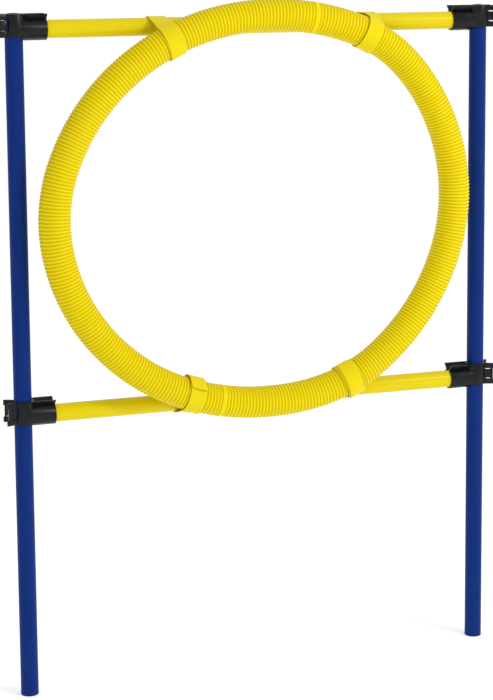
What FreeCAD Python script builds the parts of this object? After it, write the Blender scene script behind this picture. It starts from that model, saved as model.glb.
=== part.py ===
import FreeCAD
import Part
import math
import os

# Agility hoop jump: two posts, two crossbars held in snap clips, and a hose hoop strapped to both bars.
# X runs along the crossbars, +Z is up, the hoop hangs on the -Y side of the bars.
# The origin is on the ground, midway between the posts. Lengths are in millimetres.

Vec = FreeCAD.Vector
Z_AXIS = Vec(0, 0, 1)
Y_AXIS = Vec(0, 1, 0)
X_AXIS = Vec(1, 0, 0)

# Tubes: posts and crossbars are the same 30 mm tube
tube_radius = 15.0
tube_wall = 1.8
post_height = 1150.0
post_spacing = 825.0

# End caps and plugs, pushed into the tube ends
cap_flange = 1.5
cap_edge_round = 0.6
cap_spigot_length = 20.0
cap_spigot_wall = 1.8
cap_spigot_clearance = 0.05
cap_dome_height = 1.6
cap_dome_radius = 13.6

# Snap clips, one moulding that grips a post and cradles a bar
clip_wall = 2.9
clip_top = 25.5
clip_ring_bottom = -12.3
clip_post_clearance = 0.08
clip_bar_clearance = 0.06
cradle_end = 53.0
jaw_throat = 8.4
jaw_reach = 30.0
jaw_mouth = 15.6
prong_height = 9.0
prong_step = 2.4
tongue_slot_width = 1.6
tongue_slot_at = 11.6
tongue_tip = 24.0
tongue_half_height = 8.6
lip_throat = 5.5
lip_throat_height = 18.2
lip_mouth = 13.1
lip_wall = 2.4
lip_root_height = 14.6

# Heights of the crossbar axes
bar_upper_z = post_height - clip_top
bar_lower_z = 484.0
bar_end_gap = 1.5

# Hoop: two lengths of corrugated hose bent to an uneven oval and joined end to end
hose_radius = 27.0
hose_wall = 1.6
hose_bar_gap = 0.8
hoop_y = -(tube_radius + hose_bar_gap + hose_radius)
hoop_start = (344.4, 882.0)
hoop_first_angle = 10.0
hoop_arc_turn = 30.0
coupler_angles = (80.5, 258.2)
# Radii of the centre line's equal-angled tangent arcs; the two left open close the loop
hoop_arc_radii = (341.0, 247.5, None, 385.0, 355.0, None, 323.5, 343.5, 429.0, 292.0, 378.0, 328.0)
coupler_collar = 8.5
coupler_spigot = 38.0
coupler_wall = 2.4
coupler_clearance = 0.1

# Hook-and-loop straps round the hose and the bar behind it
strap_width = 28.0
strap_thickness = 1.6
strap_slack = 0.7
strap_stations = (-strap_width / 2, 0.0, strap_width / 2)
tail_gap = 0.3

# name: (hoop angle, bar height, side of the root, root fraction from hose to bar, wrapped part, wrap angle)
straps = {
    "upper_left": (115.8, bar_upper_z, -1, 0.50, "bar", 95.0),
    "upper_right": (64.2, bar_upper_z, -1, 0.50, "bar", 95.0),
    "lower_left": (251.5, bar_lower_z, -1, 0.35, "hose", 100.0),
    "lower_right": (294.3, bar_lower_z, 1, 0.15, "hose", 152.0),
}


def save(shape, name):
    solids = shape.Solids
    assert solids and all(s.isValid() and s.Volume > 0 for s in solids), name
    result = solids[0] if len(solids) == 1 else Part.makeCompound(solids)
    result.exportStep("parts/" + name + ".step")
    print(name, len(solids), "solid", round(sum(s.Volume for s in solids)), "mm3")


def tube(outer, inner, length, base, axis):
    body = Part.makeCylinder(outer, length, base, axis)
    return body.cut(Part.makeCylinder(inner, length, base, axis))


def end_plug(face_centre, inward):
    """A cap whose flange face is at face_centre and whose hollow spigot points inward."""
    spigot_radius = tube_radius - tube_wall - cap_spigot_clearance
    flange = Part.makeCylinder(tube_radius, cap_flange, face_centre, inward)
    rim = [e for e in flange.Edges if isinstance(e.Curve, Part.Circle)
           and (e.CenterOfMass - face_centre).Length < cap_flange / 2]
    flange = flange.makeFillet(cap_edge_round, rim)
    spigot_base = face_centre + inward * cap_flange
    spigot = Part.makeCylinder(spigot_radius, cap_spigot_length, spigot_base, inward)
    hollow = Part.makeCylinder(spigot_radius - cap_spigot_wall, cap_spigot_length, spigot_base, inward)
    return flange.fuse(spigot.cut(hollow)).removeSplitter()


def top_dome(face_centre):
    """The shallow dome on a top cap's face."""
    ball_radius = (cap_dome_radius ** 2 + cap_dome_height ** 2) / (2 * cap_dome_height)
    ball = Part.makeSphere(ball_radius, face_centre + Z_AXIS * (cap_dome_height - ball_radius))
    return ball.common(Part.makeCylinder(tube_radius, cap_dome_height, face_centre))


def build_posts():
    for side, x in (("left", -post_spacing / 2), ("right", post_spacing / 2)):
        tube_length = post_height - 2 * cap_flange
        base = Vec(x, 0, cap_flange)
        save(tube(tube_radius, tube_radius - tube_wall, tube_length, base, Z_AXIS), "post_" + side)
        top_face = Vec(x, 0, post_height)
        cap = end_plug(top_face, Z_AXIS * -1).fuse(top_dome(top_face))
        save(cap.removeSplitter(), "post_top_cap_" + side)
        save(end_plug(Vec(x, 0, 0), Z_AXIS), "post_foot_" + side)


def build_crossbars():
    clip_ring_radius = tube_radius + clip_post_clearance + clip_wall
    half = post_spacing / 2 - clip_ring_radius - bar_end_gap
    for level, z in (("upper", bar_upper_z), ("lower", bar_lower_z)):
        base = Vec(-half + cap_flange, 0, z)
        length = 2 * (half - cap_flange)
        save(tube(tube_radius, tube_radius - tube_wall, length, base, X_AXIS), "crossbar_" + level)
        save(end_plug(Vec(-half, 0, z), X_AXIS), "crossbar_" + level + "_plug_left")
        save(end_plug(Vec(half, 0, z), X_AXIS * -1), "crossbar_" + level + "_plug_right")


def prism(points, direction):
    return Part.Face(Part.makePolygon(points + [points[0]])).extrude(direction)


def flared_wall(start, end, thickness):
    """Corners of a straight wall from start to end, thickened away from the mirror plane at zero."""
    run = math.hypot(end[0] - start[0], end[1] - start[1])
    along = ((end[0] - start[0]) / run, (end[1] - start[1]) / run)
    across = (-along[1], along[0])
    if across[1] < 0:
        across = (-across[0], -across[1])
    push = (across[0] * thickness, across[1] * thickness)
    return [start, end, (end[0] + push[0], end[1] + push[1]), (start[0] + push[0], start[1] + push[1])]


def clip_shape():
    """The clip with the post axis on Z, the bar axis along +X at height zero, the jaws towards -X."""
    bore = tube_radius + clip_post_clearance
    bar_bore = tube_radius + clip_bar_clearance
    height = clip_top - clip_ring_bottom
    middle = (clip_top + clip_ring_bottom) / 2
    ring_base = Vec(0, 0, clip_ring_bottom)
    ring = Part.makeCylinder(bore + clip_wall, height, ring_base)
    mouth = Part.makeBox(bore + clip_wall, 2 * jaw_throat, height,
                         Vec(-bore - clip_wall, -jaw_throat, clip_ring_bottom))
    ring = ring.cut(mouth)

    # Cradle: a C channel whose two lips flare up from a throat narrower than the bar
    channel = Part.makeCylinder(bar_bore + clip_wall, cradle_end, Vec(0, 0, 0), X_AXIS)
    channel = channel.cut(Part.makeBox(cradle_end, 2 * lip_throat, clip_top, Vec(0, -lip_throat, 0)))
    profile = flared_wall((lip_throat_height, lip_throat), (clip_top, lip_mouth), lip_wall)
    outer_root = profile[3]
    profile[2] = (clip_top, profile[2][1] + (clip_top - profile[2][0]) * (lip_mouth - lip_throat)
                  / (clip_top - lip_throat_height))
    profile += [(lip_root_height, outer_root[1]), (lip_root_height, lip_throat)]
    for sign in (1, -1):
        lip = prism([Vec(0, sign * y, z) for z, y in profile], Vec(cradle_end, 0, 0))
        channel = channel.fuse(lip)
    channel = channel.cut(Part.makeCylinder(bore + clip_wall / 2, 4 * clip_top, Vec(0, 0, -2 * clip_top)))

    # Jaws: they lead the post into the ring when the clip is snapped on
    throat_x = -math.sqrt(bore ** 2 - jaw_throat ** 2)
    jaw = flared_wall((throat_x, jaw_throat), (-jaw_reach, jaw_mouth), clip_wall)
    body = ring.fuse(channel)
    for sign in (1, -1):
        body = body.fuse(prism([Vec(x, sign * y, clip_ring_bottom) for x, y in jaw], Vec(0, 0, height)))

    # The middle of each jaw stands back from the prongs and is cut free from the ring as a tongue
    step_height = height - 2 * prong_height
    body = body.cut(Part.makeBox(2 * prong_step, 4 * jaw_mouth, step_height,
                                 Vec(-jaw_reach - prong_step, -2 * jaw_mouth, middle - step_height / 2)))
    for sign in (1, -1):
        near = Vec(-tongue_slot_at, min(sign * jaw_throat, sign * 2 * jaw_mouth), middle - tongue_half_height)
        depth = 2 * jaw_mouth - jaw_throat
        body = body.cut(Part.makeBox(tongue_slot_width, depth, 2 * tongue_half_height, near))
        for edge in (-1, 1):
            z = middle + edge * tongue_half_height - tongue_slot_width / 2
            corner = Vec(-tongue_tip, min(sign * jaw_throat, sign * 2 * jaw_mouth), z)
            length = tongue_tip - tongue_slot_at + tongue_slot_width
            body = body.cut(Part.makeBox(length, depth, tongue_slot_width, corner))

    # The post bore and the bar seat
    body = body.cut(Part.makeCylinder(bore, 4 * clip_top, Vec(0, 0, -2 * clip_top)))
    seat_start = bore + clip_wall
    body = body.cut(Part.makeCylinder(bar_bore, cradle_end, Vec(seat_start, 0, 0), X_AXIS))
    return body.removeSplitter()


def build_clips():
    shape = clip_shape()
    for level, z in (("upper", bar_upper_z), ("lower", bar_lower_z)):
        for side, x, turn in (("left", -post_spacing / 2, 0), ("right", post_spacing / 2, 180)):
            placed = shape.copy()
            placed.Placement = FreeCAD.Placement(Vec(x, 0, z), FreeCAD.Rotation(Z_AXIS, turn))
            save(placed, "clip_" + level + "_" + side)


def hoop_direction(degrees):
    """Unit vector in the hoop's plane at this angle."""
    return Vec(math.cos(math.radians(degrees)), 0, math.sin(math.radians(degrees)))


def hoop_arcs():
    """The hoop's tangent arcs: (start angle, end angle, centre, radius), angles being normals."""
    angles = [hoop_first_angle + hoop_arc_turn * i for i in range(len(hoop_arc_radii) + 1)]
    steps = [hoop_direction(b) - hoop_direction(a) for a, b in zip(angles, angles[1:])]
    radii = list(hoop_arc_radii)
    drift = Vec(0, 0, 0)
    for step, radius in zip(steps, radii):
        drift += step * (radius or 0.0)
    one, two = (i for i, radius in enumerate(radii) if radius is None)
    cross = steps[one].x * steps[two].z - steps[one].z * steps[two].x
    radii[one] = (drift.z * steps[two].x - drift.x * steps[two].z) / cross
    radii[two] = (drift.x * steps[one].z - drift.z * steps[one].x) / cross
    arcs = []
    point = Vec(hoop_start[0], hoop_y, hoop_start[1])
    for start, end, radius in zip(angles, angles[1:], radii):
        centre = point - hoop_direction(start) * radius
        arcs.append((start, end, centre, radius))
        point = centre + hoop_direction(end) * radius
    return arcs


def arc_at(angle):
    for start, end, centre, radius in hoop_arcs():
        for turn in (-360, 0, 360):
            if start <= angle + turn <= end:
                return end - turn, centre, radius
    raise ValueError(angle)


def hose_section(outer, inner, start, end):
    """A hollow hose between two hoop angles, one torus segment for each arc that it crosses."""
    pieces = []
    angle = start
    while angle < end - 1e-6:
        arc_end, centre, radius = arc_at(angle + 1e-6)
        stop = min(arc_end, end)
        direction = hoop_direction(angle)
        tangent = Vec(-direction.z, 0, direction.x)
        point = centre + direction * radius
        ring = Part.Face(Part.Wire(Part.makeCircle(outer, point, tangent)))
        ring = ring.cut(Part.Face(Part.Wire(Part.makeCircle(inner, point, tangent))))
        pieces.append(ring.revolve(centre, Y_AXIS * -1, stop - angle))
        angle = stop
    body = pieces[0]
    for piece in pieces[1:]:
        body = body.fuse(piece)
    return body


def build_hoop():
    bore = hose_radius - hose_wall
    collar_half = []
    for angle in coupler_angles:
        radius = arc_at(angle)[2]
        collar_half.append(math.degrees(coupler_collar / 2 / radius))
    first, second = coupler_angles
    left = hose_section(hose_radius, bore, first + collar_half[0], second - collar_half[1])
    right = hose_section(hose_radius, bore, second + collar_half[1], first + 360 - collar_half[0])
    save(left, "hoop_hose_left")
    save(right, "hoop_hose_right")

    spigot_radius = bore - coupler_clearance
    names = ("hoop_coupler_upper", "hoop_coupler_lower")
    for name, angle, half in zip(names, coupler_angles, collar_half):
        spigot_half = half + math.degrees(coupler_spigot / arc_at(angle)[2])
        collar = hose_section(hose_radius, spigot_radius - coupler_wall, angle - half, angle + half)
        sleeve = hose_section(spigot_radius, spigot_radius - coupler_wall,
                              angle - spigot_half, angle + spigot_half)
        save(collar.fuse(sleeve), name)


def strap_frame(angle):
    """Point on the hoop's centre line, outward normal and tangent at a hoop angle."""
    centre, radius = arc_at(angle)[1:]
    normal = hoop_direction(angle)
    tangent = Vec(-normal.z, 0, normal.x)
    return centre + normal * radius, normal, tangent


class StrapSection:
    """The strap's outline, offset by grow, in the plane that stands along metres from its middle."""

    def __init__(self, angle, bar_z, along, grow):
        point, normal, tangent = strap_frame(angle)
        self.origin = point + tangent * along
        self.normal = normal
        bar_half = tube_radius / abs(normal.z)
        self.hose = (0.0, 0.0, hose_radius + strap_slack + grow)
        bar_u = (bar_z - self.origin.z) / normal.z
        self.bar = (bar_u, tube_radius - bar_half - hoop_y, bar_half + strap_slack + grow)
        gap = math.hypot(self.bar[0], self.bar[1])
        self.axis_angle = math.degrees(math.atan2(self.bar[1], self.bar[0]))
        self.spread = math.degrees(math.acos((self.hose[2] - self.bar[2]) / gap))

    def side_angle(self, side):
        return self.axis_angle - side * self.spread

    def on(self, circle, angle):
        u = circle[0] + circle[2] * math.cos(math.radians(angle))
        y = circle[1] + circle[2] * math.sin(math.radians(angle))
        return self.origin + self.normal * u + Y_AXIS * y

    def side_point(self, side, fraction):
        angle = self.side_angle(side)
        return self.on(self.hose, angle) * (1 - fraction) + self.on(self.bar, angle) * fraction

    def loop_wire(self):
        upper, lower = self.side_angle(1), self.side_angle(-1)
        hose_top, hose_bottom = self.on(self.hose, upper), self.on(self.hose, lower)
        bar_top, bar_bottom = self.on(self.bar, upper), self.on(self.bar, lower)
        hose_front = self.on(self.hose, self.axis_angle + 180)
        bar_back = self.on(self.bar, self.axis_angle)
        return Part.Wire([
            Part.Arc(hose_bottom, hose_front, hose_top).toShape(),
            Part.makeLine(hose_top, bar_top),
            Part.Arc(bar_top, bar_back, bar_bottom).toShape(),
            Part.makeLine(bar_bottom, hose_bottom),
        ])

    def tail_path(self, side, root, around, wrap):
        """Root, line end, arc middle and tip of a tail, and the angles used."""
        circle = self.hose if around == "hose" else self.bar
        turn = -side if around == "hose" else side
        start = self.side_angle(side)
        return (self.side_point(side, root), self.on(circle, start),
                self.on(circle, start + turn * wrap / 2), self.on(circle, start + turn * wrap))


def strap_band(angle, bar_z):
    solids = []
    for grow in (strap_thickness, 0.0):
        wires = [StrapSection(angle, bar_z, along, grow).loop_wire() for along in strap_stations]
        solids.append(Part.makeLoft(wires, True, True))
    return solids[0].cut(solids[1])


def strap_tail(angle, bar_z, side, root, around, wrap):
    wires = []
    near = strap_thickness + tail_gap
    for along in strap_stations:
        inner = StrapSection(angle, bar_z, along, near).tail_path(side, root, around, wrap)
        outer = StrapSection(angle, bar_z, along, near + strap_thickness).tail_path(side, root, around, wrap)
        wires.append(Part.Wire([
            Part.makeLine(inner[0], inner[1]),
            Part.Arc(inner[1], inner[2], inner[3]).toShape(),
            Part.makeLine(inner[3], outer[3]),
            Part.Arc(outer[3], outer[2], outer[1]).toShape(),
            Part.makeLine(outer[1], outer[0]),
            Part.makeLine(outer[0], inner[0]),
        ]))
    return Part.makeLoft(wires, True, True)


def tail_hinge(angle, bar_z, side, root):
    """The line that a tail peels about: the middle of its thickness at the root."""
    grow = strap_thickness * 1.5 + tail_gap
    ends = [StrapSection(angle, bar_z, along, grow).side_point(side, root) for along in strap_stations]
    return (ends[0] + ends[-1]) * 0.5, (ends[-1] - ends[0]).normalize()


def build_straps():
    for name, (angle, bar_z, side, root, around, wrap) in straps.items():
        save(strap_band(angle, bar_z), "strap_" + name)
        save(strap_tail(angle, bar_z, side, root, around, wrap), "strap_" + name + "_tail")
        point, axis = tail_hinge(angle, bar_z, side, root)
        print("  peels about", [round(v, 3) for v in point], "along", [round(v, 5) for v in axis])


os.makedirs("parts", exist_ok=True)
build_posts()
build_crossbars()
build_clips()
build_hoop()
build_straps()
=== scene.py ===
import math

import bmesh
import bpy
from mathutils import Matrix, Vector, noise


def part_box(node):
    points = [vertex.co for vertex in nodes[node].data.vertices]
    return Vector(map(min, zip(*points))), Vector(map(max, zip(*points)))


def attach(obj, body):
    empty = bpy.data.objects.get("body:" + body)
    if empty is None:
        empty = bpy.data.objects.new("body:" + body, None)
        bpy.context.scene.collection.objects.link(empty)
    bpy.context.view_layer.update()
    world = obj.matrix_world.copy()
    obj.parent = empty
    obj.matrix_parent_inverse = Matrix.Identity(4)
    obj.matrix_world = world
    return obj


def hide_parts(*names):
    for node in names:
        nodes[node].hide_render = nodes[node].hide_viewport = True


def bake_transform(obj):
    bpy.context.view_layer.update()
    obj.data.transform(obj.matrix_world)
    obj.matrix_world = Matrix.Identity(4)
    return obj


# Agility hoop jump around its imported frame: metres, X along the crossbars, Z up, hoop on the -Y side.
mm = 0.001

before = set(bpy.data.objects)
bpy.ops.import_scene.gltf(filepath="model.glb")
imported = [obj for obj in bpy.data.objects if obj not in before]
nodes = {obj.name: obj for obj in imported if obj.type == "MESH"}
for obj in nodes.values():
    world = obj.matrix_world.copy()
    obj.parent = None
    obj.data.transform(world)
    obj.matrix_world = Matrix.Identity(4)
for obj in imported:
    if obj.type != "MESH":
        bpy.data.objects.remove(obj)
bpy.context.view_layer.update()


def middle(node):
    low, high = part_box(node)
    return (low + high) / 2


barHeight = {node: middle(node).z for node in ("crossbar_upper", "crossbar_lower")}


def linearColour(hexValue):
    channels = [int(hexValue[i:i + 2], 16) / 255 for i in (1, 3, 5)]
    return [c / 12.92 if c <= 0.04045 else ((c + 0.055) / 1.055) ** 2.4 for c in channels] + [1.0]


def addNode(tree, kind, inputs=None, **settings):
    # inputs: socket name or number -> a plain value, or the output socket that feeds it
    node = tree.nodes.new(kind)
    for name, value in settings.items():
        setattr(node, name, value)
    for socket, value in (inputs or {}).items():
        if isinstance(value, bpy.types.NodeSocket):
            tree.links.new(value, node.inputs[socket])
        else:
            node.inputs[socket].default_value = value
    return node


def startMaterial(name, **fixed):
    # the Principled shader with its constant sockets set, ready for colour, roughness and bump
    material = bpy.data.materials.new(name)
    material.use_nodes = True
    tree = material.node_tree
    shader = tree.nodes["Principled BSDF"]
    for socket, value in fixed.items():
        shader.inputs[socket.replace("_", " ")].default_value = value
    place = addNode(tree, "ShaderNodeTexCoord").outputs["Object"]
    return material, tree, shader, place


def noiseAt(tree, place, size, stretch=(1, 1, 1), detail=2.0):
    # size is the width of one blotch in metres, stretch makes it longer on an axis
    scale = [1 / (size * s) for s in stretch]
    moved = addNode(tree, "ShaderNodeMapping", {"Vector": place, "Scale": scale})
    return addNode(tree, "ShaderNodeTexNoise",
                   {"Vector": moved.outputs["Vector"], "Scale": 1.0, "Detail": detail})


def mixColours(tree, share, first, second):
    node = addNode(tree, "ShaderNodeMix", {0: share}, data_type="RGBA")
    for socket, value in ((6, first), (7, second)):
        if isinstance(value, bpy.types.NodeSocket):
            tree.links.new(value, node.inputs[socket])
        else:
            node.inputs[socket].default_value = value
    return node.outputs[2]


def remap(tree, value, low, high, start=0.3, stop=0.7):
    node = addNode(tree, "ShaderNodeMapRange",
                   {"Value": value, "From Min": start, "From Max": stop, "To Min": low, "To Max": high})
    return node.outputs["Result"]


def bumpFrom(tree, height, depth, under=None):
    inputs = {"Height": height, "Strength": 1.0, "Distance": depth}
    if under is not None:
        inputs["Normal"] = under
    return addNode(tree, "ShaderNodeBump", inputs).outputs["Normal"]


tubeFinish = {
    "blue": "#0a2b72", "blueWorn": "#0d317b",
    "yellow": "#dcc701", "yellowWorn": "#e3ce02",
    "blueRoughness": (0.34, 0.46), "yellowRoughness": (0.22, 0.3), "blueGloss": 0.06, "yellowGloss": 0.15,
    # draw lines are drawn coarser than real, so that they show
    "drawLineWidth": 1.6 * mm, "drawLineDepth": 0.02 * mm, "scuffSize": 9 * mm,
}


def extrudedPvc(name, colour, worn, roughness, gloss, axis):
    # PVC tube, extruded: an even satin skin with long faint draw lines along its length, scuffed in soft patches
    material, tree, shader, place = startMaterial(name, IOR=1.53, Specular_IOR_Level=gloss)
    stretch = [60 if i == axis else 1 for i in range(3)]
    lines = noiseAt(tree, place, tubeFinish["drawLineWidth"], stretch)
    scuffs = noiseAt(tree, place, tubeFinish["scuffSize"], [4 if i == axis else 1 for i in range(3)], 4.0)
    share = remap(tree, scuffs.outputs["Fac"], 0.0, 0.6, 0.45, 0.75)
    tree.links.new(mixColours(tree, share, linearColour(colour), linearColour(worn)), shader.inputs["Base Color"])
    tree.links.new(remap(tree, scuffs.outputs["Fac"], *roughness), shader.inputs["Roughness"])
    tree.links.new(bumpFrom(tree, lines.outputs["Fac"], tubeFinish["drawLineDepth"]), shader.inputs["Normal"])
    return material


hoseFinish = {
    # groove: the colour of the painted shade laid into the grooves between the crests and on the bore
    "colour": "#ecd701", "deep": "#e4ce00", "groove": "#cbb500", "roughness": (0.34, 0.46),
    "blotchSize": 14 * mm, "skinSize": 0.9 * mm, "skinDepth": 0.03 * mm,
}


def blowMouldedPolyethylene():
    # polyethylene, blow moulded in a corrugating line: waxy half-gloss skin, slightly uneven from ring to ring, with
    # painted shade darkening the grooves
    material, tree, shader, place = startMaterial(
        "blowMouldedPolyethylene", IOR=1.51, Specular_IOR_Level=0.09)
    blotch = noiseAt(tree, place, hoseFinish["blotchSize"], detail=3.0)
    skin = noiseAt(tree, place, hoseFinish["skinSize"])
    share = remap(tree, blotch.outputs["Fac"], 0.0, 0.5)
    colour = mixColours(tree, share, linearColour(hoseFinish["colour"]), linearColour(hoseFinish["deep"]))
    # painted shade: the grooves and the bore darken towards the groove colour by how deep they lie under the crests
    groove = addNode(tree, "ShaderNodeAttribute", attribute_name="groove").outputs["Fac"]
    colour = mixColours(tree, groove, colour, linearColour(hoseFinish["groove"]))
    tree.links.new(colour, shader.inputs["Base Color"])
    tree.links.new(remap(tree, blotch.outputs["Fac"], *hoseFinish["roughness"]), shader.inputs["Roughness"])
    tree.links.new(bumpFrom(tree, skin.outputs["Fac"], hoseFinish["skinDepth"]), shader.inputs["Normal"])
    return material


clipFinish = {
    "colour": "#070c0c", "dusty": "#131a1a", "roughness": (0.26, 0.4),
    # the grain is drawn coarser than real
    "grainSize": 0.7 * mm, "grainDepth": 0.03 * mm, "flowSize": 7 * mm,
}


def mouldedAbs():
    # ABS, injection moulded: near-black satin with a fine spark-eroded grain and cloudy flow marks
    material, tree, shader, place = startMaterial("mouldedAbs", IOR=1.54, Specular_IOR_Level=0.2)
    grain = noiseAt(tree, place, clipFinish["grainSize"])
    flow = noiseAt(tree, place, clipFinish["flowSize"], (1, 1, 2), 4.0)
    share = remap(tree, flow.outputs["Fac"], 0.0, 0.8, 0.4, 0.75)
    colour = mixColours(tree, share, linearColour(clipFinish["colour"]), linearColour(clipFinish["dusty"]))
    tree.links.new(colour, shader.inputs["Base Color"])
    tree.links.new(remap(tree, flow.outputs["Fac"], *clipFinish["roughness"]), shader.inputs["Roughness"])
    tree.links.new(bumpFrom(tree, grain.outputs["Fac"], clipFinish["grainDepth"]), shader.inputs["Normal"])
    return material


capFinish = {
    "colour": "#080b0b", "rubbed": "#171b1b", "roughness": (0.4, 0.55),
    # the grain is drawn coarser than real
    "grainSize": 0.9 * mm, "grainDepth": 0.04 * mm, "rubSize": 5 * mm,
}


def mouldedPolypropylene():
    # polypropylene, injection moulded: black and duller than the clips, rubbed grey where it is handled
    material, tree, shader, place = startMaterial("mouldedPolypropylene", IOR=1.49, Specular_IOR_Level=0.2)
    grain = noiseAt(tree, place, capFinish["grainSize"])
    rub = noiseAt(tree, place, capFinish["rubSize"], detail=4.0)
    share = remap(tree, rub.outputs["Fac"], 0.0, 1.0, 0.45, 0.7)
    colour = mixColours(tree, share, linearColour(capFinish["colour"]), linearColour(capFinish["rubbed"]))
    tree.links.new(colour, shader.inputs["Base Color"])
    tree.links.new(remap(tree, rub.outputs["Fac"], *capFinish["roughness"]), shader.inputs["Roughness"])
    tree.links.new(bumpFrom(tree, grain.outputs["Fac"], capFinish["grainDepth"]), shader.inputs["Normal"])
    return material


tapeFinish = {
    "colour": "#e8d402", "shaded": "#dfca02", "roughness": (0.75, 0.9),
    # the loops of the nap are drawn coarser than real
    "fibreSize": 0.5 * mm, "fibreDepth": 0.12 * mm, "tuftSize": 2.2 * mm, "tuftDepth": 0.1 * mm,
}


def nappedNylon():
    # nylon hook-and-loop tape, woven and brushed: a matt nap of fine loops, a little uneven where it was pressed
    material, tree, shader, place = startMaterial(
        "nappedNylon", IOR=1.5, Specular_IOR_Level=0.15, Sheen_Weight=0.1, Sheen_Roughness=0.5)
    fibre = noiseAt(tree, place, tapeFinish["fibreSize"])
    tuft = noiseAt(tree, place, tapeFinish["tuftSize"], detail=3.0)
    share = remap(tree, tuft.outputs["Fac"], 0.0, 0.8)
    colour = mixColours(tree, share, linearColour(tapeFinish["colour"]), linearColour(tapeFinish["shaded"]))
    tree.links.new(colour, shader.inputs["Base Color"])
    tree.links.new(remap(tree, tuft.outputs["Fac"], *tapeFinish["roughness"]), shader.inputs["Roughness"])
    coarse = bumpFrom(tree, tuft.outputs["Fac"], tapeFinish["tuftDepth"])
    fine = bumpFrom(tree, fibre.outputs["Fac"], tapeFinish["fibreDepth"], coarse)
    tree.links.new(fine, shader.inputs["Normal"])
    return material


studio = {"floorHalfSize": 90.0, "floorGlow": 0.32, "cloudSize": 0.8, "worldStrength": 0.78}


def paintedFloor():
    # matt white studio floor
    material, tree, shader, place = startMaterial(
        "paintedFloor", Roughness=0.9, Specular_IOR_Level=0.1,
        Emission_Color=linearColour("#ffffff"), Emission_Strength=studio["floorGlow"])
    cloud = noiseAt(tree, place, studio["cloudSize"])
    share = remap(tree, cloud.outputs["Fac"], 0.0, 1.0)
    tree.links.new(mixColours(tree, share, linearColour("#f4f4f4"), linearColour("#f0f0f0")),
                   shader.inputs["Base Color"])
    return material


bluePvc = extrudedPvc("extrudedBluePvc", tubeFinish["blue"], tubeFinish["blueWorn"],
                      tubeFinish["blueRoughness"], tubeFinish["blueGloss"], 2)
yellowPvc = extrudedPvc("extrudedYellowPvc", tubeFinish["yellow"], tubeFinish["yellowWorn"],
                        tubeFinish["yellowRoughness"], tubeFinish["yellowGloss"], 0)
hosePlastic = blowMouldedPolyethylene()
clipPlastic = mouldedAbs()
capPlastic = mouldedPolypropylene()
tape = nappedNylon()
print("materials ready")


def addPiece(name, vertices, faces, material, body, replaced, slot=None):
    mesh = bpy.data.meshes.new(name)
    mesh.from_pydata(vertices, [], faces)
    mesh.validate()
    mesh.materials.append(material)
    mesh.polygons.foreach_set("use_smooth", [True] * len(mesh.polygons))
    piece = bpy.data.objects.new(name, mesh)
    bpy.context.scene.collection.objects.link(piece)
    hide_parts(replaced)
    if body:
        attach(piece, body)
    return piece


def markGrooveShade(piece, rows, around):
    # how deep each ring lies under the crests, from 0 to 1, for the painted shade in the grooves
    crest, deepest = hoop["hoseRadius"], hoop["grooveDepth"]
    depth = [min(1.0, max(0.0, (crest - radius) / deepest)) for _, radius in rows]
    attribute = piece.data.attributes.new("groove", "FLOAT", "POINT")
    attribute.data.foreach_set("value", [d for d in depth for _ in range(around)])


def closedSweep(rings):
    # faces of a tube made of rings of equal size, the last ring joined back to the first
    count = len(rings[0])
    vertices = [p for ring in rings for p in ring]
    faces = []
    for r in range(len(rings)):
        here, there = r * count, ((r + 1) % len(rings)) * count
        for k in range(count):
            n = (k + 1) % count
            faces.append((here + k, here + n, there + n, there + k))
    return vertices, faces


hoop = {
    "start": (344.4 * mm, 882.0 * mm), "firstAngle": 10.0, "arcTurn": 30.0,
    # radii in mm, the two left open close the loop
    "arcRadii": (341.0, 247.5, None, 385.0, 355.0, None, 323.5, 343.5, 429.0, 292.0, 378.0, 328.0),
    "hoseRadius": 27.0 * mm, "bore": 24.4 * mm,
    "pitch": 5.8 * mm, "grooveDepth": 1.5 * mm, "grooveSharpness": 1.5, "ringUnevenness": 0.07 * mm,
    "rowsPerPitch": 8, "around": 60,
    "jointAngles": (80.5, 258.2), "collarWidth": 8.5 * mm, "collarRound": 0.7 * mm,
    "collarProud": 0.1 * mm, "spigotLength": 38 * mm, "spigotRadius": 24.2 * mm, "spigotWall": 2.4 * mm,
    "boreRows": 100, "spigotRows": 6,
}
hoopY = middle("hoop_hose_left").y


def hoopDirection(angle):
    return Vector((math.cos(math.radians(angle)), 0, math.sin(math.radians(angle))))


def solveArcs():
    # (start angle, centre, radius, length of the line before it) of each arc, angles being normals
    radii = [None if r is None else r * mm for r in hoop["arcRadii"]]
    angles = [hoop["firstAngle"] + hoop["arcTurn"] * i for i in range(len(radii) + 1)]
    steps = [hoopDirection(b) - hoopDirection(a) for a, b in zip(angles, angles[1:])]
    drift = sum((step * (radius or 0.0) for step, radius in zip(steps, radii)), Vector())
    one, two = (i for i, radius in enumerate(radii) if radius is None)
    cross = steps[one].x * steps[two].z - steps[one].z * steps[two].x
    radii[one] = (drift.z * steps[two].x - drift.x * steps[two].z) / cross
    radii[two] = (drift.x * steps[one].z - drift.z * steps[one].x) / cross
    point, length, arcs = Vector((hoop["start"][0], hoopY, hoop["start"][1])), 0.0, []
    for start, stop, radius in zip(angles, angles[1:], radii):
        centre = point - hoopDirection(start) * radius
        arcs.append((start, centre, radius, length))
        point = centre + hoopDirection(stop) * radius
        length += radius * math.radians(stop - start)
    return arcs, length


hoopArcs, hoopLength = solveArcs()


def hoopFrame(angle):
    # point on the centre line, outward normal and tangent where the normal stands at this angle
    turned = (angle - hoop["firstAngle"]) % 360
    start, centre, radius, _ = hoopArcs[int(turned // hoop["arcTurn"])]
    normal = hoopDirection(angle)
    return centre + normal * radius, normal, Vector((-normal.z, 0, normal.x))


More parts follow.
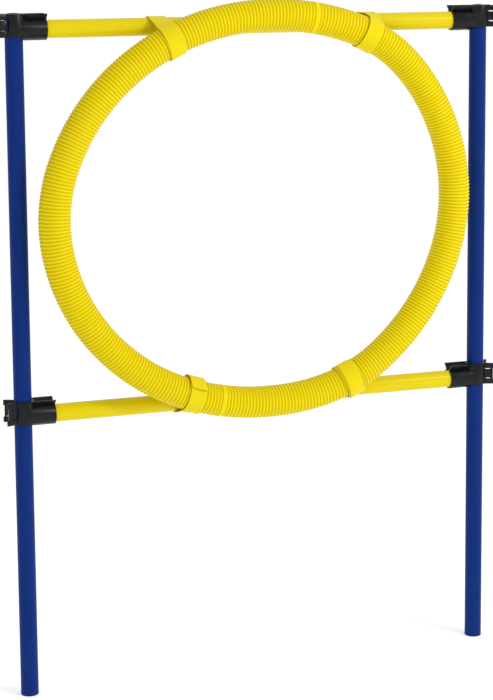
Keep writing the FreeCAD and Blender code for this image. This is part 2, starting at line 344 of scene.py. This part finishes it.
def lengthAt(angle):
    turned = (angle - hoop["firstAngle"]) % 360
    start, centre, radius, before = hoopArcs[int(turned // hoop["arcTurn"])]
    return before + radius * math.radians(turned % hoop["arcTurn"])


def angleAt(length):
    length %= hoopLength
    start, centre, radius, before = [arc for arc in hoopArcs if arc[3] <= length][-1]
    return start + math.degrees((length - before) / radius)


def ringsAlongHoop(rows, around):
    # rows: (length along the centre line, radius)
    turns = [2 * math.pi * k / around for k in range(around)]
    rings = []
    for length, radius in rows:
        point, normal, _ = hoopFrame(angleAt(length))
        across = Vector((0, radius, 0))
        rings.append([point + normal * (radius * math.cos(t)) + across * math.sin(t) for t in turns])
    return rings


def corrugatedRows(start, end):
    # rounded crests with narrower grooves between them, an even number of rings from end to end
    count = round((end - start) / hoop["pitch"])
    step = (end - start) / count / hoop["rowsPerPitch"]
    rows = []
    for i in range(count * hoop["rowsPerPitch"] + 1):
        phase = (i % hoop["rowsPerPitch"]) / hoop["rowsPerPitch"]
        groove = (0.5 + 0.5 * math.cos(2 * math.pi * phase)) ** hoop["grooveSharpness"]
        uneven = noise.noise(Vector((i // hoop["rowsPerPitch"] * 0.73, start * 10, 0))) * hoop["ringUnevenness"]
        rows.append((start + i * step, hoop["hoseRadius"] + uneven * (1 - groove) - hoop["grooveDepth"] * groove))
    return rows


def makeHoop():
    first, second = (lengthAt(a) for a in hoop["jointAngles"])
    half = hoop["collarWidth"] / 2
    spans = {"left": (first + half, second - half), "right": (second + half, first + hoopLength - half)}
    for side, (start, end) in spans.items():
        outer = corrugatedRows(start, end)
        steps = hoop["boreRows"]
        inner = [(start + (end - start) * i / steps, hoop["bore"]) for i in range(steps, -1, -1)]
        rings = ringsAlongHoop(outer + inner, hoop["around"])
        piece = addPiece("hose_" + side, *closedSweep(rings), hosePlastic, "hoop_frame",
                         "hoop_hose_" + side, "hose_yellow")
        markGrooveShade(piece, outer + inner, hoop["around"])
    crest = hoop["hoseRadius"] + hoop["collarProud"]
    edge, spigot = hoop["collarRound"], hoop["spigotRadius"]
    corner = [(edge * (1 - math.cos(math.radians(a))), edge * (1 - math.sin(math.radians(a))))
              for a in (0, 30, 60, 90)]
    for level, at in (("upper", first), ("lower", second)):
        reach = half + hoop["spigotLength"]
        along = [half + (reach - half) * i / hoop["spigotRows"] for i in range(hoop["spigotRows"] + 1)]
        outer = [(at - d, spigot) for d in reversed(along)]
        outer += [(at - half + s, crest - drop) for s, drop in corner]
        outer += [(at, crest)]
        outer += [(at + half - s, crest - drop) for s, drop in reversed(corner)]
        outer += [(at + d, spigot) for d in along]
        inner = [(at + reach * k / 8, spigot - hoop["spigotWall"]) for k in range(8, -9, -1)]
        rings = ringsAlongHoop(outer + inner, 96)
        addPiece("coupler_" + level, *closedSweep(rings), hosePlastic, "hoop_frame",
                 "hoop_coupler_" + level, "hose_yellow")


makeHoop()
print("hoop ready")


barRadius = 15 * mm
strap = {
    "width": 28 * mm, "thickness": 1.6 * mm, "slack": 0.7 * mm, "edgeRound": 0.5 * mm,
    "acrossPoints": 9, "loopRows": 132, "tailRows": 44, "tailGap": 0.3 * mm,
    "ripple": 0.22 * mm, "rippleSize": 16 * mm, "rootRamp": 9 * mm, "tipRound": 3 * mm, "hingeRun": 6 * mm,
    "rippleRun": 0.25, "tailRipple": 1.6, "tailLift": 0.6, "tipTaper": 0.8, "rootClearance": 0.1 * mm,
    "hingeLook": 8 * mm, "earlyDrift": 0.35,
}
# angle: on the hoop, bar: the bar it holds
# bandTurn and barTurn: how far the loop turns from square to the hose (0) to square to the bar (1), at each end
# barShift: sideways on the bar, bow: how far the slack run between hose and bar stands up
# side, root, around, wrap: where the tail leaves the loop, what it wraps and how far; tailTurn, drift: how it slants
# edgeLift: how far each edge of the band stands off the hose
straps = {
    "upper_left": {"angle": 115.8, "bar": "crossbar_upper", "bandTurn": 0.15, "barTurn": 0.3,
                   "barShift": 2.0 * mm, "bow": 0.5 * mm,
                   "side": -1, "root": 0.50, "around": "bar", "wrap": 95, "tailTurn": 0.15, "drift": 0.5 * mm,
                   "edgeLift": (0.2 * mm, 0.4 * mm)},
    "upper_right": {"angle": 64.2, "bar": "crossbar_upper", "bandTurn": 0.0, "barTurn": 0.2,
                    "barShift": -2.0 * mm, "bow": 1.5 * mm,
                    "side": -1, "root": 0.50, "around": "bar", "wrap": 95, "tailTurn": 0.0, "drift": -0.5 * mm,
                    "edgeLift": (0.3 * mm, 0.8 * mm)},
    "lower_left": {"angle": 251.5, "bar": "crossbar_lower", "bandTurn": 0.1, "barTurn": 0.9,
                   "barShift": 0.0, "bow": 0.5 * mm,
                   "side": -1, "root": 0.35, "around": "hose", "wrap": 100, "tailTurn": 0.7, "drift": 4.0 * mm,
                   "edgeLift": (0.5 * mm, 0.2 * mm)},
    "lower_right": {"angle": 294.3, "bar": "crossbar_lower", "bandTurn": 0.0, "barTurn": 0.7,
                    "barShift": 0.0, "bow": 0.5 * mm,
                    "side": 1, "root": 0.15, "around": "hose", "wrap": 152, "tailTurn": 0.0, "drift": 4.0 * mm,
                    "edgeLift": (0.4 * mm, 0.2 * mm)},
}


class TapeLoop:
    # the tape's run round hose and bar, this far across the tape and this far out from its inner face
    def __init__(self, spec, across, grow, turn=None):
        point, normal, tangent = hoopFrame(spec["angle"])
        lean = (barHeight[spec["bar"]] - point.z) / normal.z
        barAlong = Vector((math.copysign(1, tangent.x), 0, 0))
        barPoint = Vector((point.x + normal.x * lean + spec["barShift"], 0, barHeight[spec["bar"]]))
        self.bow = spec["bow"]
        self.hose = self.oval(point, tangent, tangent.lerp(barAlong, spec["bandTurn"] if turn is None else turn),
                              across, hoop["hoseRadius"] + strap["slack"] + grow)
        self.bar = self.oval(barPoint, barAlong, tangent.lerp(barAlong, spec["barTurn"]),
                             across, barRadius + strap["slack"] + grow)
        self.axis = math.atan2(-hoopY, lean)
        self.spread = math.acos((self.hose[3] - self.bar[3]) / math.hypot(lean, hoopY))

    @staticmethod
    def oval(point, tube, along, across, radius):
        # the loop's section round one tube: centre, the half axis across the tube, the half axis on Y, radius
        along = along.normalized()
        stretch = 1 / along.dot(tube)
        outward = Vector((along.z, 0, -along.x)) * radius * stretch
        return point + tube * across * stretch, outward, Vector((0, radius, 0)), radius

    def on(self, oval, angle):
        return oval[0] + oval[1] * math.cos(angle) + oval[2] * math.sin(angle)

    def sideAngle(self, side):
        return self.axis - side * self.spread

    def runLength(self, side):
        return (self.on(self.hose, self.sideAngle(side)) - self.on(self.bar, self.sideAngle(side))).length

    def loopPoint(self, t):
        # t from 0 to 1: round the hose, over to the bar, round the bar and back
        hoseTurn, barTurn = 2 * (math.pi - self.spread), 2 * self.spread
        lengths = (hoseTurn * self.hose[3], self.runLength(1), barTurn * self.bar[3], self.runLength(-1))
        distance, part = t * sum(lengths), 0
        while part < 3 and distance > lengths[part]:
            distance -= lengths[part]
            part += 1
        share = distance / lengths[part]
        if part == 0:
            return self.on(self.hose, self.sideAngle(-1) + hoseTurn * share)
        if part == 2:
            return self.on(self.bar, self.sideAngle(1) + barTurn * share)
        angle = self.sideAngle(1 if part == 1 else -1)
        ends = (self.on(self.hose, angle), self.on(self.bar, angle))
        if part == 3:
            return ends[1].lerp(ends[0], share)
        outward = (self.hose[1].normalized() * math.cos(angle) + Vector((0, math.sin(angle), 0)))
        return ends[0].lerp(ends[1], share) + outward * self.bow * math.sin(math.pi * share) ** 2

    def tailLengths(self, spec):
        circle = self.hose if spec["around"] == "hose" else self.bar
        share = spec["root"] if spec["around"] == "hose" else 1 - spec["root"]
        return self.runLength(spec["side"]) * share, math.radians(spec["wrap"]) * circle[3]

    def tailPoint(self, spec, t):
        # t from 0 at the root to 1 at the tip
        side = spec["side"]
        circle = self.hose if spec["around"] == "hose" else self.bar
        turn = -side if spec["around"] == "hose" else side
        angle = self.sideAngle(side)
        run, arc = self.tailLengths(spec)
        distance = t * (run + arc)
        if distance > run:
            return self.on(circle, angle + turn * (distance - run) / circle[3])
        ends = (self.on(self.hose, angle), self.on(self.bar, angle))
        root = ends[0].lerp(ends[1], spec["root"])
        return root.lerp(self.on(circle, angle), distance / run)


def tapeOutline(width, thickness):
    # (across, grow) pairs round the tape's section, with softly rounded edges
    edge, count = strap["edgeRound"], strap["acrossPoints"]
    flat = [(-1 + 2 * i / (count - 1)) * (width / 2 - edge) for i in range(count)]
    outer = [(a, thickness) for a in flat]
    right = [(width / 2 - 0.3 * edge, thickness - 0.3 * edge), (width / 2, thickness / 2),
             (width / 2 - 0.3 * edge, 0.3 * edge)]
    inner = [(a, 0.0) for a in reversed(flat)]
    left = [(-a, thickness - g) for a, g in right]
    return outer + right + inner + left


def ripple(seed, t, across, length):
    # gentle waves of a tape pulled tight by hand, never towards what it wraps
    size = strap["rippleSize"]
    value = noise.noise(Vector((t * length / size, across / size, seed)))
    return strap["ripple"] * (0.5 + value)


def makeBand(name, spec, seed):
    length = strap["rippleRun"]
    rings = []
    lowLift, highLift = spec["edgeLift"]
    for i in range(strap["loopRows"]):
        t = i / strap["loopRows"]
        ring = []
        for across, grow in tapeOutline(strap["width"], strap["thickness"]):
            share = across / (strap["width"] / 2)
            lift = (highLift if share > 0 else lowLift) * abs(share) ** 3
            circleWave = math.sin(math.pi * t) ** 2 if t > 0.5 else 1.0
            wave = ripple(seed, min(t, 1 - t), across, length)
            ring.append(TapeLoop(spec, across, grow + wave + lift * circleWave).loopPoint(t))
        rings.append(ring)
    addPiece("band_" + name, *closedSweep(rings), tape, "hoop_frame", "strap_" + name, "strap_yellow")


def makeTail(name, spec, seed):
    base = TapeLoop(spec, 0.0, strap["thickness"])
    run, arc = base.tailLengths(spec)
    length = run + arc
    # clear of the band's lifted edges and its waves
    gap = strap["tailGap"] + max(spec["edgeLift"]) + strap["ripple"]
    rows = strap["tailRows"]
    rings = []
    for i in range(rows + 1):
        t = i / rows
        ramp = min(1.0, t * length / strap["rootRamp"])
        ramp = ramp * ramp * (3 - 2 * ramp)
        fromTip = (1 - t) * length
        corner = max(0.0, 1 - fromTip / strap["tipRound"])
        width = strap["width"] - 2 * strap["tipRound"] * (1 - math.sqrt(max(0.0, 1 - corner ** 2))) * strap["tipTaper"]
        ring = []
        for across, grow in tapeOutline(width, strap["thickness"]):
            near = (strap["thickness"] + gap) * ramp + strap["rootClearance"]
            wave = ripple(seed, t, across, length)
            early = strap["earlyDrift"]
            drift = spec["drift"] * (early + (1 - early) * t) * ramp
            turn = spec["bandTurn"] + (spec["tailTurn"] - spec["bandTurn"]) * ramp
            loop = TapeLoop(spec, across + drift, near + grow + wave * strap["tailRipple"]
                            + strap["ripple"] * strap["tailLift"], turn)
            ring.append(loop.tailPoint(spec, t))
        rings.append(ring)
    count = len(rings[0])
    vertices, faces = closedSweep(rings)
    faces = [f for f in faces if not (min(f) < count and max(f) >= rows * count)]
    faces.append(tuple(range(count)))
    faces.append(tuple(reversed(range(rows * count, (rows + 1) * count))))
    piece = addPiece("tail_" + name, vertices, faces, tape, None, "strap_" + name + "_tail", "strap_yellow")
    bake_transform(piece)


for seed, (strapName, spec) in enumerate(straps.items()):
    makeBand(strapName, spec, seed * 7.3)
    makeTail(strapName, spec, seed * 7.3 + 3.1)
print("straps ready")


clip = {"edgeBreak": 0.45 * mm, "segments": 2, "sharpAngle": 32.0}


def brokenEdgeCopy(node, material):
    source = nodes[node].data
    work = bmesh.new()
    work.from_mesh(source)
    bmesh.ops.remove_doubles(work, verts=work.verts, dist=0.001 * mm)
    bmesh.ops.dissolve_limit(work, angle_limit=math.radians(1.0), verts=work.verts, edges=work.edges)
    sharp = [e for e in work.edges if len(e.link_faces) == 2
             and e.calc_face_angle(0) > math.radians(clip["sharpAngle"])]
    bmesh.ops.bevel(work, geom=sharp, offset=clip["edgeBreak"], segments=clip["segments"], profile=0.5,
                    affect="EDGES", clamp_overlap=True, loop_slide=True)
    mesh = bpy.data.meshes.new(node + "_softened")
    work.to_mesh(mesh)
    work.free()
    mesh.polygons.foreach_set("use_smooth", [True] * len(mesh.polygons))
    mesh.set_sharp_from_angle(angle=math.radians(40))
    mesh.materials.append(material)
    piece = bpy.data.objects.new(node + "_moulding", mesh)
    bpy.context.scene.collection.objects.link(piece)
    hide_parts(node)
    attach(piece, "hoop_frame")


for level in ("upper", "lower"):
    for side in ("left", "right"):
        brokenEdgeCopy("clip_" + level + "_" + side, clipPlastic)
print("clips ready")


def paintNode(node, material):
    mesh = nodes[node].data
    mesh.materials.clear()
    mesh.materials.append(material)


for side in ("left", "right"):
    paintNode("post_" + side, bluePvc)
    paintNode("post_top_cap_" + side, capPlastic)
    paintNode("post_foot_" + side, capPlastic)
    for level in ("upper", "lower"):
        paintNode("crossbar_" + level + "_plug_" + side, capPlastic)
for level in ("upper", "lower"):
    paintNode("crossbar_" + level, yellowPvc)


def makeFloor():
    size = studio["floorHalfSize"]
    mesh = bpy.data.meshes.new("floor")
    mesh.from_pydata([(-size, -size, 0), (size, -size, 0), (size, size, 0), (-size, size, 0)], [], [(0, 1, 2, 3)])
    mesh.materials.append(paintedFloor())
    floor = bpy.data.objects.new("floor", mesh)
    bpy.context.scene.collection.objects.link(floor)


lights = {
    "key": {"at": (2.3, -2.6, 2.7), "aim": (0.0, 0.0, 0.7), "size": 0.7, "watts": 58, "colour": "#fffdf8"},
}


def makeLights():
    for name, spec in lights.items():
        data = bpy.data.lights.new(name, "AREA")
        data.size = spec["size"]
        data.energy = spec["watts"]
        data.color = linearColour(spec["colour"])[:3]
        lamp = bpy.data.objects.new(name, data)
        lamp.location = spec["at"]
        lamp.rotation_euler = (Vector(spec["aim"]) - Vector(spec["at"])).to_track_quat("-Z", "Y").to_euler()
        bpy.context.scene.collection.objects.link(lamp)
    world = bpy.data.worlds.new("studio")
    world.use_nodes = True
    background = world.node_tree.nodes["Background"]
    background.inputs["Color"].default_value = linearColour("#ffffff")
    background.inputs["Strength"].default_value = studio["worldStrength"]
    bpy.context.scene.world = world
    bpy.context.scene.view_settings.view_transform = "Standard"


camera = {
    "at": (-1.0521, -3.1433, 1.2782), "yaw": -0.3359, "pitch": 0.141, "roll": -0.0058,
    "lens": 100.65, "shiftX": -0.05, "shiftY": -0.2,
}


def makeCamera():
    data = bpy.data.cameras.new("camera")
    data.sensor_width = 36.0
    data.lens = camera["lens"]
    data.shift_x, data.shift_y = camera["shiftX"], camera["shiftY"]
    eye = bpy.data.objects.new("camera", data)
    eye.location = camera["at"]
    yaw, pitch, roll = camera["yaw"], camera["pitch"], camera["roll"]
    forward = Vector((-math.sin(yaw) * math.cos(pitch), math.cos(yaw) * math.cos(pitch), -math.sin(pitch)))
    right = Vector((math.cos(yaw), math.sin(yaw), 0))
    up = right.cross(forward)
    right = right * math.cos(roll) + up * math.sin(roll)
    up = right.cross(forward)
    turn = eye.rotation_euler.to_matrix()
    turn.col[0], turn.col[1], turn.col[2] = right, up, -forward
    eye.rotation_euler = turn.to_euler()
    bpy.context.scene.collection.objects.link(eye)
    bpy.context.scene.camera = eye


makeFloor()
makeLights()
makeCamera()
print("studio ready")
